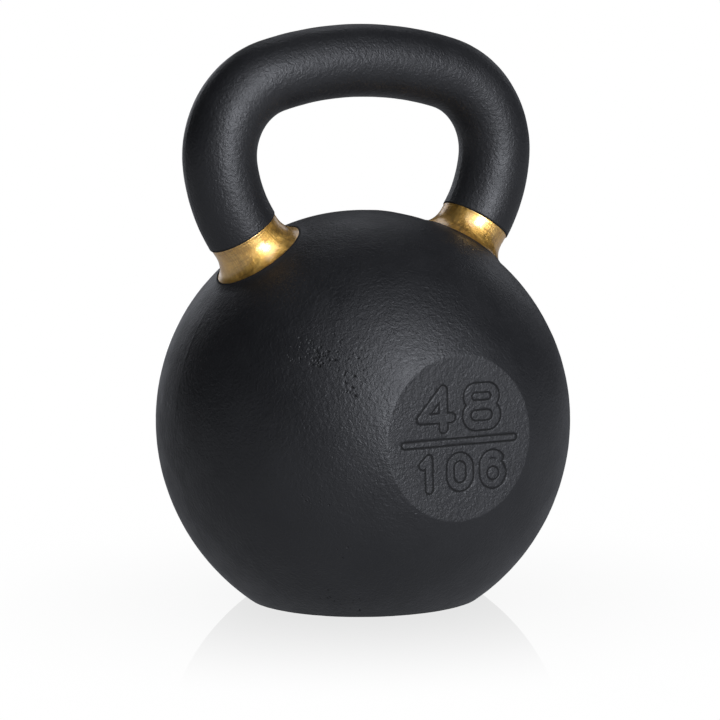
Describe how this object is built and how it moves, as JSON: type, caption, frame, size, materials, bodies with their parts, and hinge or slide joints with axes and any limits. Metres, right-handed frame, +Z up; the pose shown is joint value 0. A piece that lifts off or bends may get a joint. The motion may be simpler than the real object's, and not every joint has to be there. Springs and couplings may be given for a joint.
{
  "type": "kettlebell",
  "caption": "Gravity-cast iron kettlebell with a black powder coat, a gold band round each handle root, round cheeks with an outlined weight mark and a flat base.",
  "frame": {"origin": "middle of the flat base, on the surface it rests on", "axes": "+Z up through the ball to the grip; X along the handle's span; -Y out of the cheek that carries the weight mark"},
  "size_m": [0.23, 0.2152, 0.3176],
  "materials": {
    "bare_iron": "machined grey iron, seen only on the base",
    "powder_coat": "satin black powder coat over a cast surface",
    "gold": "brushed gold leaf"
  },
  "bodies": {
    "root": {"iron_casting": "bare_iron", "ball_coating": "powder_coat", "handle_coating": "powder_coat", "left_band": "gold", "right_band": "gold"}
  },
  "joints": []
}
